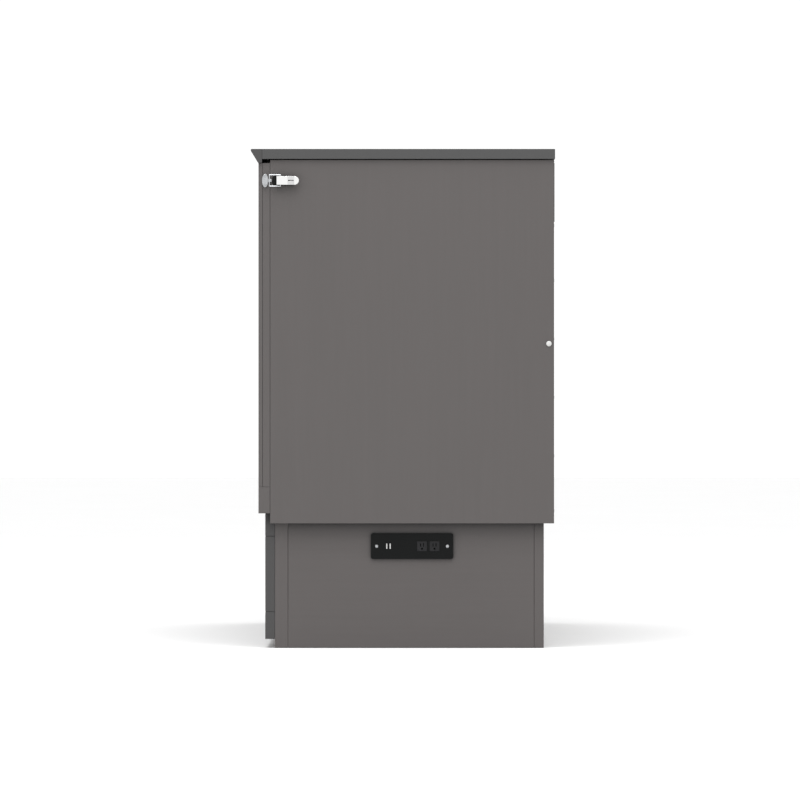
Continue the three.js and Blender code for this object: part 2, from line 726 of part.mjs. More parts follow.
function buildMiddleLegs() {
  const y = FOLD_HINGE_Y;
  const z = MID_LEG_AXIS_Z;
  const stripBack = MID_FRAME_BACK + GAP + 3;
  let carrier = solid(box([-700, 700], [MID_FRAME_BACK + GAP, stripBack], [z - 22, z + 22]));
  for (const [side, s] of SIDES) {
    const x0 = s * MID_LEG_X - LEG_WIDTH / 2;
    const x1 = x0 + LEG_WIDTH;
    const pin = barX(x0 - 1 - CHEEK_THICK, x1 + 1 + CHEEK_THICK, y, z, LEG_PIN_RADIUS, 12);
    const cheekY = [stripBack - 1, y + 7];
    const cheekZ = [z - 9, z + 9];
    carrier = carrier.add(solid(box([x0 - 1 - CHEEK_THICK, x0 - 1], cheekY, cheekZ)));
    carrier = carrier.add(solid(box([x1 + 1, x1 + 1 + CHEEK_THICK], cheekY, cheekZ)));
    carrier = carrier.add(solid(pin));
    const shape = legShape(y, z, MID_LEG_THICK, MID_LEG_LENGTH, 1);
    const leg = alongX(shape, x0, x1, { curveSegments: 6 });
    const bored = cut(leg, barX(x0 - 1, x1 + 1, y, z, LEG_PIN_RADIUS + 0.5, 12));
    addMesh(`mid_leg_${side}`, MATERIALS.plywood, bored);
  }
  addMesh("mid_leg_carrier", MATERIALS.steel, fromSolid(carrier));
}

function buildFootLegs() {
  for (const [side, s] of SIDES) {
    const x0 = s * FOOT_LEG_X - FOOT_LEG_WIDTH / 2;
    const shape = legShape(FOOT_LEG_AXIS_Y, FOOT_LEG_AXIS_Z, FOOT_LEG_THICK, FOOT_LEG_LENGTH, -1);
    const leg = alongX(shape, x0, x0 + FOOT_LEG_WIDTH, { curveSegments: 6 });
    addMesh(`foot_leg_${side}`, MATERIALS.woodSide, leg);
  }
}

// ---------------------------------------------------------------- door

// The slot that each folded foot leg fills, open at the door's face.
function legSlots(y0, y1) {
  const bottom = FOOT_LEG_AXIS_Z - FOOT_LEG_LENGTH - LEG_SLOT_CLEARANCE;
  const top = FOOT_LEG_AXIS_Z + FOOT_LEG_THICK / 2 + LEG_SLOT_CLEARANCE;
  const half = FOOT_LEG_WIDTH / 2 + LEG_SLOT_CLEARANCE;
  return SIDES.map(([, s]) =>
    box([s * FOOT_LEG_X - half, s * FOOT_LEG_X + half], [y0 - 1, y1 + 1], [bottom, top]),
  );
}

// Two tools cut a field in the door's face frame: a straight one, and a wider one that coves its front edge.
function fieldCutters(x0, x1, z0, z1, layer) {
  const cove = FIELD_COVE;
  const straight = box([x0, x1], [DOOR_FRONT - 1, layer + 1], [z0, z1]);
  const depth = [DOOR_FRONT - 4 * cove, DOOR_FRONT + cove];
  const wide = board([x0 - cove, x1 + cove], depth, [z0 - cove, z1 + cove], cove);
  return [straight, wide];
}

function buildDoor() {
  const half = SIDE_OUTER;
  const layer = DOOR_FRONT + OVERLAY_THICK;
  const rear = [layer + GAP, DOOR_BACK];
  const panel = board([-half, half], rear, [DOOR_JOINT + GAP, DOOR_TOP]);
  addMesh("door_panel", MATERIALS.woodSide, cut(panel, ...legSlots(...rear)));

  const top = DOOR_TOP - TOP_RAIL;
  const upperBottom = FOOT_LEG_AXIS_Z - FOOT_LEG_LENGTH - LEG_SLOT_CLEARANCE;
  const lowerTop = upperBottom - MID_RAIL;
  const lowerBottom = DOOR_JOINT + GAP + LOW_RAIL;
  const frame = board([-half, half], [DOOR_FRONT, layer], [DOOR_JOINT + GAP, DOOR_TOP]);
  const legHalf = FOOT_LEG_WIDTH / 2 + LEG_SLOT_CLEARANCE;
  // The upper field takes in the leg slots; the lower fields are split by fixed stiles of the same width.
  const inner = half - STILE;
  const upper = fieldCutters(-inner, inner, upperBottom, top, layer);
  const lower = [
    [-inner, -FOOT_LEG_X - legHalf],
    [-FOOT_LEG_X + legHalf, FOOT_LEG_X - legHalf],
    [FOOT_LEG_X + legHalf, inner],
  ].flatMap(([x0, x1]) => fieldCutters(x0, x1, lowerBottom, lowerTop, layer));
  addMesh("door_face_frame", MATERIALS.woodSide, cut(frame, ...upper, ...lower));

  const railBox = board([-half, half], [DOOR_FRONT, DOOR_BACK], [DOOR_BOTTOM, DOOR_JOINT]);
  addMesh("door_bottom_rail", MATERIALS.woodSide, railBox);
}

// ---------------------------------------------------------------- drawer

// Shallow grooves round the drawer front mark off its top and bottom strips.
function drawerGrooves() {
  const depth = 1;
  const rear = DRAWER_FRONT_Y + DRAWER_FRONT_THICK;
  return DRAWER_GROOVES.flatMap((z) => {
    const height = [z - 0.8, z + 0.8];
    return [
      box([-BASE_OUTER - 1, BASE_OUTER + 1], [DRAWER_FRONT_Y - 1, DRAWER_FRONT_Y + depth], height),
      box([-BASE_OUTER - 1, -BASE_OUTER + depth], [DRAWER_FRONT_Y - 1, rear + 1], height),
      box([BASE_OUTER - depth, BASE_OUTER + 1], [DRAWER_FRONT_Y - 1, rear + 1], height),
    ];
  });
}

function buildDrawer() {
  const frontBack = DRAWER_FRONT_Y + DRAWER_FRONT_THICK;
  const front = board(
    [-BASE_OUTER, BASE_OUTER],
    [DRAWER_FRONT_Y, frontBack],
    [DRAWER_FRONT_BOTTOM, DRAWER_FRONT_TOP],
  );
  addMesh("drawer_front", MATERIALS.woodDark, cut(front, ...drawerGrooves()));

  const y0 = frontBack + GAP;
  const y1 = y0 + DRAWER_DEPTH;
  const z = [DRAWER_BOX_BOTTOM, DRAWER_BOX_TOP];
  for (const [side, s] of SIDES) {
    const wall = span(s, DRAWER_HALF - DRAWER_WALL, DRAWER_HALF);
    addMesh(`drawer_side_${side}`, MATERIALS.plywood, board(wall, [y0, y1], z, 1));
    const moving = slideHalf(s, DRAWER_HALF + GAP, DRAWER_HALF + 6, y0 + 6, y1 - 10, 6);
    addMesh(`slide_moving_${side}`, MATERIALS.steel, moving);
    const postInner = BASE_OUTER - POST_THICK;
    const fixedFront = BASE_FRONT + 4;
    const fixed = slideHalf(s, DRAWER_HALF + 6.6, postInner - GAP, fixedFront, BASE_REAR - REAR_POST - 4, 0);
    addMesh(`slide_fixed_${side}`, MATERIALS.steel, fixed);
  }
  const inside = DRAWER_HALF - DRAWER_WALL - GAP;
  addMesh(
    "drawer_back",
    MATERIALS.plywood,
    board([-inside, inside], [y1 - DRAWER_WALL, y1], [DRAWER_BOX_BOTTOM + 14, DRAWER_BOX_TOP - 8], 1),
  );
  addMesh(
    "drawer_bottom",
    MATERIALS.plywood,
    board(
      [-inside, inside],
      [y0 + 0.2, y1 - 0.2],
      [DRAWER_BOX_BOTTOM + 4, DRAWER_BOX_BOTTOM + 14 - GAP],
      1,
    ),
  );
}

// Half of a drawer slide: a steel bar, narrower than its partner by `inset` above and below.
function slideHalf(s, near, far, y0, y1, inset) {
  return board(span(s, near, far), [y0, y1], [SLIDE_BOTTOM + inset, SLIDE_TOP - inset], 1);
}

// ---------------------------------------------------------------- latches

function buildLatches() {
  for (const [side, s] of SIDES) {
    addMesh(`latch_base_${side}`, MATERIALS.blackSteel, latchBase(s));
    addMesh(`latch_lever_${side}`, MATERIALS.chrome, latchLever(s));
    addMesh(`latch_bail_${side}`, MATERIALS.chrome, latchBail(s * (SIDE_OUTER + BAIL_STANDOFF)));
    addMesh(`latch_keeper_${side}`, MATERIALS.chrome, latchKeeper(s));
  }
}

// The X range between two standoffs from the side panel's face.
function offPanel(s, near, far) {
  return span(s, SIDE_OUTER + near, SIDE_OUTER + far);
}

// Base plate with two ears and the lever's pin between them.
function latchBase(s) {
  const half = EAR_GAP + EAR_THICK + 0.6;
  const plateShape = roundedShape(LEVER_AXIS_Y - 13, LEVER_AXIS_Y + 34, LATCH_Z - half, LATCH_Z + half, 5);
  const plate = alongX(plateShape, ...offPanel(s, GAP, LATCH_PLATE_THICK), { curveSegments: 3 });
  const axisX = s * (SIDE_OUTER + LEVER_AXIS_STANDOFF);
  const ears = [-1, 1].flatMap((up) => {
    const height = [LATCH_Z + up * EAR_GAP, LATCH_Z + up * (EAR_GAP + EAR_THICK)].sort((a, b) => a - b);
    const foot = box(
      offPanel(s, 1, LEVER_AXIS_STANDOFF),
      [LEVER_AXIS_Y - EAR_RADIUS, LEVER_AXIS_Y + EAR_RADIUS],
      height,
    );
    return [foot, barZ(...height, axisX, LEVER_AXIS_Y, EAR_RADIUS, 16)];
  });
  const pinZ = [LATCH_Z - EAR_GAP - 1, LATCH_Z + EAR_GAP + 1];
  const pin = barZ(...pinZ, axisX, LEVER_AXIS_Y, LATCH_PIN_RADIUS, 10);
  return union(plate, ...ears, pin);
}

// Thumb lever: a plate with a round rear end, over a web to its own barrel and a barrel that holds the bail.
function latchLever(s) {
  const front = LEVER_AXIS_Y - 3.4;
  const rearCentre = LEVER_REAR_Y - LEVER_HALF;
  const outline = new THREE.Shape();
  outline.moveTo(front, LATCH_Z - LEVER_HALF);
  outline.lineTo(rearCentre, LATCH_Z - LEVER_HALF);
  outline.absarc(rearCentre, LATCH_Z, LEVER_HALF, -Math.PI / 2, Math.PI / 2);
  outline.lineTo(front, LATCH_Z + LEVER_HALF);
  outline.closePath();
  const plate = alongX(outline, ...offPanel(s, ...LEVER_PLATE), { curveSegments: 8 });
  const axisX = s * (SIDE_OUTER + LEVER_AXIS_STANDOFF);
  const bailX = s * (SIDE_OUTER + BAIL_STANDOFF);
  const inner = [LATCH_Z - BARREL_HALF, LATCH_Z + BARREL_HALF];
  const web = box(
    offPanel(s, LEVER_AXIS_STANDOFF, LEVER_PLATE[0] + 0.5),
    [LEVER_AXIS_Y - BARREL_RADIUS, LEVER_AXIS_Y + BARREL_RADIUS],
    inner,
  );
  const barrel = barZ(...inner, axisX, LEVER_AXIS_Y, BARREL_RADIUS, 14);
  const bailBarrel = barZ(...inner, bailX, BAIL_AXIS_Y, BARREL_RADIUS + 0.1, 14);
  const through = [LATCH_Z - BAIL_HALF, LATCH_Z + BAIL_HALF];
  const bore = barZ(...through, axisX, LEVER_AXIS_Y, LATCH_PIN_RADIUS + PIN_CLEARANCE, 10);
  const bailBore = barZ(...through, bailX, BAIL_AXIS_Y, BAIL_WIRE + PIN_CLEARANCE, 10);
  const slit = box(
    offPanel(s, LEVER_PLATE[0] - 1, LEVER_PLATE[1] + 1),
    LEVER_SLIT,
    [LATCH_Z - 1, LATCH_Z + 1],
  );
  return cut(union(plate, web, barrel, bailBarrel), bore, bailBore, slit);
}

// Wire bail: a closed rectangle of round wire that passes outside the lever and turns in its front barrel.
function latchBail(x) {
  const low = LATCH_Z - BAIL_HALF;
  const high = LATCH_Z + BAIL_HALF;
  const corners = [
    [BAIL_FRONT_Y, low],
    [BAIL_FRONT_Y, high],
    [BAIL_AXIS_Y, high],
    [BAIL_AXIS_Y, low],
  ].map(([y, z]) => new THREE.Vector3(x, y, z));
  const rods = corners.map((corner, index) => rod(corner, corners[(index + 1) % corners.length], BAIL_WIRE));
  const bends = corners.map(({ y, z }) => new THREE.SphereGeometry(BAIL_WIRE, 10, 6).translate(x, y, z));
  return union(...rods, ...bends);
}

function rod(from, to, radius) {
  const axis = to.clone().sub(from);
  const geometry = new THREE.CylinderGeometry(radius, radius, axis.length(), 8);
  const turn = new THREE.Quaternion().setFromUnitVectors(AXIS_Y, axis.clone().normalize());
  geometry.applyQuaternion(turn);
  const middle = from.clone().add(to).multiplyScalar(0.5);
  return geometry.translate(middle.x, middle.y, middle.z);
}

// Keeper on the door's edge: an oval plate, and a tongue that ends in a low hook behind the bail's front run.
function latchKeeper(s) {
  const width = KEEPER_REAR_Y - KEEPER_FRONT_Y;
  const oval = new THREE.Shape();
  const middle = (KEEPER_FRONT_Y + KEEPER_REAR_Y) / 2;
  oval.absellipse(middle, LATCH_Z, width / 2, KEEPER_HALF, 0, Math.PI * 2);
  const plate = alongX(oval, ...offPanel(s, GAP, KEEPER_THICK), { ease: 0.8, curveSegments: 10 });
  const hookTop = BAIL_STANDOFF - BAIL_WIRE - 0.7;
  const side = [LATCH_Z - TONGUE_HALF, LATCH_Z + TONGUE_HALF];
  const tongue = box(offPanel(s, ...TONGUE), [middle, HOOK_REAR_Y], side);
  const hook = box(offPanel(s, 1, hookTop), [HOOK_FRONT_Y, HOOK_REAR_Y], side);
  return union(plate, tongue, hook);
}

// ---------------------------------------------------------------- assembly

buildCabinet();
buildBoltCaps();
buildBase();
buildOutlet();
buildLid();
buildLidHinge();
buildBedSections();
buildFoldHinge();
buildPivotArms();
buildHeadPivots();
buildMiddleLegs();
buildFootLegs();
buildDoor();
buildDrawer();
buildLatches();

export default bed;
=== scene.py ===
"""Looks of the cabinet bed: its finishes, mattress sections and small fittings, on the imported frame.

Metres, Z up, front towards -Y. Every place comes from a box of a CAD node.
"""

import math

import bmesh
import bpy
from mathutils import Matrix, Vector


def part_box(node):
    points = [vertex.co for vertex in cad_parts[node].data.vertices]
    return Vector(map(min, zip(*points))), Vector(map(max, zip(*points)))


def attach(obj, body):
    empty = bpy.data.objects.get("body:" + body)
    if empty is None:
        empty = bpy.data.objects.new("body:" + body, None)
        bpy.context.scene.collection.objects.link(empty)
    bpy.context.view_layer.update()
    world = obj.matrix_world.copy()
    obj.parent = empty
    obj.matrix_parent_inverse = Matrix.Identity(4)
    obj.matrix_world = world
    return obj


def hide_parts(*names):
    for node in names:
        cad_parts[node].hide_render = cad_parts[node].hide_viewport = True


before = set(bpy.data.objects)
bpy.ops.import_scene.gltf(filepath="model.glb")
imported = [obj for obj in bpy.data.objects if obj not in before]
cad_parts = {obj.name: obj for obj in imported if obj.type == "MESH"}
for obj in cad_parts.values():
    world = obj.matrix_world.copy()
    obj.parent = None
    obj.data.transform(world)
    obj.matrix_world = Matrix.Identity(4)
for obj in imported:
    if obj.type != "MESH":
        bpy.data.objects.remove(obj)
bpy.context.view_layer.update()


# ------------------------------------------------------------ node materials

SHADE_FADE_FLOOR = (0.06, 0.14)  # heights between which the painted shade sets in above the floor
SHADE_FADE_LID = (0.9, 1.03)  # heights between which the painted shade ends under the lid
SHADE_REACH = 0.075  # how far a corner or an overhang casts the painted shade
FRAME_SHADE_REACH = 0.05  # the same on the door's face frame
# how dark the painted shade gets in the face frame's corners
FRAME_CORNER_SHADE = 0.5
WORN_EDGE = 0.0013  # radius of a painted edge
METAL_EDGE = 0.0006
CHROME_EDGE = 0.0005
MOULDED_EDGE = 0.0006
LEVER_SHADE_SHARE = 0.6  # share of the darker tone in the band of painted shade across a latch lever
LEVER_SHADE_FADE = 0.0012
PLY_PITCH = 0.0032  # two plies of plywood
LOOP_WIDTH = 0.0032  # of the mattress cover's knit
LOOP_HEIGHT = 0.0044
STITCH_PITCH = 0.008
STITCH_REACH = (0.0035, 0.009)  # half of a stitched line and its fade, as shares of a channel

# Grain: how fine the noise is across the wood or the metal, and how coarse along it
FIBRES = (130, 5)
STREAKS = (26, 1.2)
BIRCH_FIGURE = (9, 0.8)
BIRCH_FIBRES = (260, 9)
DRAWN_LINES = (900, 30)
POLISH_LINES = (1500, 60)

BIRCH_DARK = (0.42, 0.29, 0.17)
BIRCH_LIGHT = (0.6, 0.45, 0.29)
BIRCH_GLUE = (0.2, 0.12, 0.065)
PLATING_DULL = (0.34, 0.35, 0.36)
PLATING_CLEAR = (0.44, 0.45, 0.46)
PLATING_WORN = (0.66, 0.66, 0.66)
CHROME = (0.88, 0.88, 0.87)
CHROME_GLINT = (0.95, 0.95, 0.94)
CHROME_SHADED = (0.55, 0.55, 0.55)
KNIT_HOLLOW_SHADE = (0.38, 0.37, 0.36)
KNIT = ((0.43, 0.42, 0.405), (0.5, 0.49, 0.475))
BORDER = ((0.07, 0.07, 0.074), (0.14, 0.14, 0.145))
STITCH = (0.2, 0.2, 0.205)
WELT = ((0.1, 0.1, 0.105), (0.2, 0.2, 0.205))


class Finish:
    """A node material while it is put together."""

    def __init__(self, name, **sockets):
        self.material = bpy.data.materials.new(name)
        self.material.use_nodes = True
        self.tree = self.material.node_tree
        self.tree.nodes.clear()
        self.shader = self.add("ShaderNodeBsdfPrincipled")
        output = self.add("ShaderNodeOutputMaterial")
        self.link(self.shader.outputs["BSDF"], output.inputs["Surface"])
        for socket, value in sockets.items():
            self.shader.inputs[socket.replace("_", " ")].default_value = value

    def add(self, kind, **settings):
        node = self.tree.nodes.new(kind)
        for setting, value in settings.items():
            setattr(node, setting, value)
        return node

    def link(self, source, target):
        self.tree.links.new(source, target)

    def feed(self, target, value):
        """Links a socket, or sets a plain value."""
        if isinstance(value, bpy.types.NodeSocket):
            self.link(value, target)
        else:
            target.default_value = value

    def math(self, operation, *values, clamp=False):
        node = self.add("ShaderNodeMath", operation=operation, use_clamp=clamp)
        for target, value in zip(node.inputs, values):
            self.feed(target, value)
        return node.outputs[0]

    def places(self, stretch=(1, 1, 1), shuffled=True):
        """Object coordinates, stretched, and moved by a different amount on each piece."""
        vector = self.add("ShaderNodeTexCoord").outputs["Object"]
        if shuffled:
            info = self.add("ShaderNodeObjectInfo")
            amount = self.math("MULTIPLY", info.outputs["Random"], 23.0)
            offset = self.add("ShaderNodeCombineXYZ")
            for target in offset.inputs:
                self.link(amount, target)
            moved = self.add("ShaderNodeVectorMath", operation="ADD")
            self.link(vector, moved.inputs[0])
            self.link(offset.outputs[0], moved.inputs[1])
            vector = moved.outputs[0]
        scaled = self.add("ShaderNodeVectorMath", operation="MULTIPLY")
        self.link(vector, scaled.inputs[0])
        scaled.inputs[1].default_value = stretch
        return scaled.outputs[0]

    def axes(self, kind="Object"):
        """X, Y and Z of the object coordinates, or of the object's normal."""
        split = self.add("ShaderNodeSeparateXYZ")
        self.link(self.add("ShaderNodeTexCoord").outputs[kind], split.inputs[0])
        return split.outputs

    def noise(self, vector, scale, detail=3.0, roughness=0.5, distortion=0.0):
        node = self.add("ShaderNodeTexNoise")
        self.link(vector, node.inputs["Vector"])
        node.inputs["Scale"].default_value = scale
        node.inputs["Detail"].default_value = detail
        node.inputs["Roughness"].default_value = roughness
        node.inputs["Distortion"].default_value = distortion
        return node.outputs["Fac"]

    def range(self, value, low, high, to_low=0.0, to_high=1.0):
        node = self.add("ShaderNodeMapRange", clamp=True)
        self.link(value, node.inputs["Value"])
        for socket, number in zip(node.inputs[1:5], (low, high, to_low, to_high)):
            socket.default_value = number
        return node.outputs["Result"]

    def mix(self, share, first, second, blend="MIX"):
        node = self.add("ShaderNodeMix", data_type="RGBA", blend_type=blend)
        self.feed(node.inputs["Factor"], share)
        for socket, value in zip((node.inputs[6], node.inputs[7]), (first, second)):
            self.feed(socket, value if isinstance(value, bpy.types.NodeSocket) else (*value, 1))
        return node.outputs[2]

    def ramp(self, value, *stops):
        node = self.add("ShaderNodeValToRGB")
        self.link(value, node.inputs["Fac"])
        elements = node.color_ramp.elements
        while len(elements) < len(stops):
            elements.new(0.5)
        for element, (place, color) in zip(elements, stops):
            element.position = place
            element.color = (*color, 1)
        return node.outputs["Color"]

    def bump(self, height, strength, distance, normal=None):
        node = self.add("ShaderNodeBump")
        node.inputs["Strength"].default_value = strength
        node.inputs["Distance"].default_value = distance
        self.link(height, node.inputs["Height"])
        if normal is not None:
            self.link(normal, node.inputs["Normal"])
        return node.outputs["Normal"]

    def soft_edges(self, radius):
        """A normal that turns smoothly over the edges, and how near an edge each place is."""
        bevel = self.add("ShaderNodeBevel", samples=4)
        bevel.inputs["Radius"].default_value = radius
        geometry = self.add("ShaderNodeNewGeometry")
        dot = self.add("ShaderNodeVectorMath", operation="DOT_PRODUCT")
        self.link(bevel.outputs[0], dot.inputs[0])
        self.link(geometry.outputs["Normal"], dot.inputs[1])
        edge = self.range(dot.outputs["Value"], 0.999, 0.8)
        return bevel.outputs[0], edge

    def band(self, axis, low, high, share, fade):
        """The given share between two places on an axis, which fades to nothing beyond them."""
        from_middle = self.math("SUBTRACT", self.axes()[axis], (low + high) / 2)
        reach = (high - low) / 2
        return self.range(self.math("ABSOLUTE", from_middle), reach, reach + fade, share, 0)

    def occlusion_shade(self, tone, reach, darkest):
        """Painted shade: darkens a tone by ambient occlusion in corners and under overhangs, but hardly
        near the floor or the lid.
        """
        shelter = self.add("ShaderNodeAmbientOcclusion", samples=6)
        shelter.inputs["Distance"].default_value = reach
        height = self.axes()["Z"]
        near_floor = self.range(height, *SHADE_FADE_FLOOR, 1, 0)
        near_lid = self.range(height, *SHADE_FADE_LID)
        unshaded_share = self.math("MAXIMUM", near_floor, near_lid)
        open_share = self.math("MAXIMUM", unshaded_share, self.range(shelter.outputs["AO"], 0.4, 1.0))
        return self.mix(open_share, self.mix(1.0, tone, (darkest,) * 3, "MULTIPLY"), tone)

    def grain(self, axis, stretch, *look):
        """Noise drawn out along one axis."""
        fine, coarse = stretch
        return self.noise(self.places([coarse if name == axis else fine for name in "xyz"]), 1.0, *look)

    def finish(self, color=None, roughness=None, normal=None):
        for socket, value in (("Base Color", color), ("Roughness", roughness), ("Normal", normal)):
            if value is not None:
                self.feed(self.shader.inputs[socket], value)
        return self.material


def tinted(color, factor):
    return tuple(channel * factor for channel in color)


class Lacquer(Finish):
    """Satin paint on wood, with the noises that all painted wood shares."""

    def __init__(self, name, color):
        super().__init__(name, IOR=1.5, Specular_IOR_Level=0.35)
        self.color = color
        self.clouds = self.noise(self.places(), 3.4, 2, 0.5)
        self.skin = self.noise(self.places(), 520, 2, 0.5)

    def fibres(self, axis):
        return self.grain(axis, FIBRES, 5, 0.62)

    def coated(self, tone, rough, fibres, reach, shade_tone):
        """The finished paint: rubbed edges, painted shade in its corners and under overhangs, and an
        orange-peel skin over the fibres.
        """
        rounded, edge = self.soft_edges(WORN_EDGE)
        rub = self.math("MULTIPLY", edge, self.range(self.clouds, 0.4, 0.65, 0.06, 0.4))
        tone = self.mix(rub, tone, tinted(self.color, 1.3))
        # painted shade: darker in corners and under overhangs
        tone = self.occlusion_shade(tone, reach, shade_tone)
        relief = self.bump(fibres, 0.1, 0.0004, rounded)
        return self.finish(tone, rough, self.bump(self.skin, 0.06, 0.0003, relief))


def painted_wood(name, color, grain, shade_tone):
    """Satin lacquer on board: the grain barely shows through."""
    paint = Lacquer(name, color)
    fibres = paint.fibres(grain)
    streaks = paint.grain(grain, STREAKS, 3, 0.5, 0.4)
    tone = paint.mix(paint.range(fibres, 0.35, 0.7), tinted(color, 0.975), tinted(color, 1.02))
    tone = paint.mix(paint.range(streaks, 0.3, 0.75, 0, 0.4), tone, tinted(color, 0.965))
    tone = paint.mix(paint.range(paint.clouds, 0.35, 0.7, 0, 0.35), tone, tinted(color, 1.03))
    satin = paint.range(streaks, 0.2, 0.8, 0.4, 0.5)
    rough = paint.math("ADD", satin, paint.range(paint.skin, 0.3, 0.7, -0.02, 0.03))
    return paint.coated(tone, rough, fibres, SHADE_REACH, shade_tone)


def framed_wood(name, color, low_rail, top_rail):
    """Painted wood whose grain runs up its stiles and across its rails."""
    paint = Lacquer(name, color)
    height = paint.axes()["Z"]
    in_low_rail = paint.math("LESS_THAN", height, low_rail)
    in_rail = paint.math("MAXIMUM", in_low_rail, paint.math("GREATER_THAN", height, top_rail))
    choice = paint.add("ShaderNodeMix", data_type="FLOAT")
    paint.link(in_rail, choice.inputs["Factor"])
    paint.link(paint.fibres("z"), choice.inputs[2])
    paint.link(paint.fibres("x"), choice.inputs[3])
    fibres = choice.outputs[0]
    tone = paint.mix(paint.range(fibres, 0.35, 0.7), tinted(color, 0.96), tinted(color, 1.035))
    tone = paint.mix(paint.range(paint.clouds, 0.35, 0.7, 0, 0.35), tone, tinted(color, 1.045))
    rough = paint.range(paint.clouds, 0.2, 0.8, 0.4, 0.5)
    return paint.coated(tone, rough, fibres, FRAME_SHADE_REACH, FRAME_CORNER_SHADE)


def plywood(name, grain, layers):
    """Birch plywood: a figured face, and dark and light plies on the cut edges."""
    wood = Finish(name, IOR=1.45)
    figure = wood.grain(grain, BIRCH_FIGURE, 3, 0.5, 1.4)
    fibres = wood.grain(grain, BIRCH_FIBRES, 4, 0.6)
    tone = wood.ramp(figure, (0.2, BIRCH_DARK), (0.5, BIRCH_LIGHT), (0.85, tinted(BIRCH_DARK, 1.15)))
    tone = wood.mix(wood.range(fibres, 0.35, 0.75, 0, 0.45), tone, tinted(BIRCH_DARK, 0.8))
    facing = wood.axes("Normal")[layers.upper()]
    on_edge = wood.math("LESS_THAN", wood.math("ABSOLUTE", facing), 0.5)
    depth = wood.axes()[layers.upper()]
    ply = wood.math("SINE", wood.math("MULTIPLY", depth, 2 * math.pi / PLY_PITCH))
    plies = wood.mix(wood.range(ply, -0.3, 0.5), BIRCH_GLUE, tinted(BIRCH_LIGHT, 0.9))
    tone = wood.mix(on_edge, tone, plies)
    normal = wood.bump(fibres, 0.25, 0.0004)
    return wood.finish(tone, wood.range(fibres, 0.2, 0.8, 0.5, 0.68), normal)


def plated_steel(name, lightness):
    """Zinc or satin nickel on steel: dull, slightly mottled, with drawing marks."""
    metal = Finish(name, Metallic=1.0)
    spangle = metal.noise(metal.places(), 60, 3, 0.6)
    lines = metal.grain("z", DRAWN_LINES, 2, 0.5)
    rounded, edge = metal.soft_edges(METAL_EDGE)
    dull, clear = tinted(PLATING_DULL, lightness), tinted(PLATING_CLEAR, lightness)
    tone = metal.ramp(spangle, (0.3, dull), (0.7, clear))
    tone = metal.mix(metal.math("MULTIPLY", edge, 0.5), tone, PLATING_WORN)
    rough = metal.range(spangle, 0.3, 0.7, 0.3, 0.46)
    return metal.finish(tone, rough, metal.bump(lines, 0.12, 0.0002, rounded))


def bright_chrome(name, shade_marks):
    """Bright plating with faint polishing lines and smudges, a glint painted on its edges, and a darker
    band of painted shade across it.
    """
    metal = Finish(name, Metallic=1.0)
    smudge = metal.noise(metal.places(), 90, 3, 0.6)
    lines = metal.grain("y", POLISH_LINES, 2, 0.5)
    rounded, edge = metal.soft_edges(CHROME_EDGE)
    tone = metal.mix(metal.math("MULTIPLY", edge, 0.6), CHROME, CHROME_GLINT)
    # painted shade: a darker band across the lever
    tone = metal.mix(metal.band("Y", *shade_marks, LEVER_SHADE_SHARE, LEVER_SHADE_FADE), tone, CHROME_SHADED)
    rough = metal.range(smudge, 0.35, 0.75, 0.12, 0.26)
    return metal.finish(tone, rough, metal.bump(lines, 0.05, 0.0001, rounded))


def moulded(name, color, rough, grit):
    """Moulded plastic or rubber: a fine spark texture and slightly shiny rubbed edges."""
    plastic = Finish(name, IOR=1.47, Specular_IOR_Level=0.12)
    spark = plastic.noise(plastic.places(), 1400, 2, 0.6)
    clouds = plastic.noise(plastic.places(), 35, 2, 0.5)
    rounded, edge = plastic.soft_edges(MOULDED_EDGE)
    tone = plastic.mix(plastic.range(clouds, 0.3, 0.7), tinted(color, 0.9), tinted(color, 1.1))
    tone = plastic.mix(plastic.math("MULTIPLY", edge, 0.35), tone, tinted(color, 1.9))
    shine = plastic.range(clouds, 0.3, 0.7, rough - 0.06, rough + 0.06)
    return plastic.finish(tone, shine, plastic.bump(spark, grit, 0.0003, rounded))


def knit_cover(name, low, pitch):
    """Mattress cover: knitted top with stitched channels, and a darker border band with an open mesh."""
    cloth = Finish(name, IOR=1.4, Sheen_Weight=0.35, Sheen_Roughness=0.5)
    x, y, z = cloth.axes()
    sideways = cloth.math("ADD", x, y)

    def waves(value, spacing):
        return cloth.math("SINE", cloth.math("MULTIPLY", value, 2 * math.pi / spacing))

    loops = cloth.math("MULTIPLY", waves(sideways, LOOP_WIDTH), waves(z, LOOP_HEIGHT))
    ribs = cloth.math("ADD", loops, cloth.math("MULTIPLY", waves(sideways, LOOP_WIDTH / 2), 0.4))
    clouds = cloth.noise(cloth.places(), 14, 3, 0.5)
    fuzz = cloth.noise(cloth.places(), 900, 3, 0.6)
    from_seam = cloth.math("SUBTRACT", z, low - pitch / 2)
    along_channel = cloth.math("FRACT", cloth.math("DIVIDE", from_seam, pitch))
    off_channel = cloth.math("ABSOLUTE", cloth.math("SUBTRACT", along_channel, 0.5))
    near = cloth.range(off_channel, *STITCH_REACH, 1, 0)
    dashes = cloth.range(waves(x, STITCH_PITCH), -0.5, -0.2)
    top = cloth.math("GREATER_THAN", cloth.math("ABSOLUTE", cloth.axes("Normal")["Y"]), 0.55)
    stitched = cloth.math("MULTIPLY", cloth.math("MULTIPLY", near, dashes), top)
    white = cloth.mix(cloth.range(clouds, 0.3, 0.7), *KNIT)
    # painted shade: the knit and the border's mesh darker in the hollows of their ribs
    white = cloth.mix(cloth.range(ribs, -0.9, 0.9), KNIT_HOLLOW_SHADE, white)
    border = cloth.mix(cloth.range(ribs, -0.7, 0.7), *BORDER)
    tone = cloth.mix(top, border, white)
    tone = cloth.mix(stitched, tone, STITCH)
    relief = cloth.math("ADD", ribs, cloth.math("MULTIPLY", fuzz, 0.8))
    relief = cloth.math("SUBTRACT", relief, cloth.math("MULTIPLY", stitched, 1.2))
    return cloth.finish(tone, cloth.range(fuzz, 0.2, 0.8, 0.78, 0.95), cloth.bump(relief, 0.35, 0.0006))


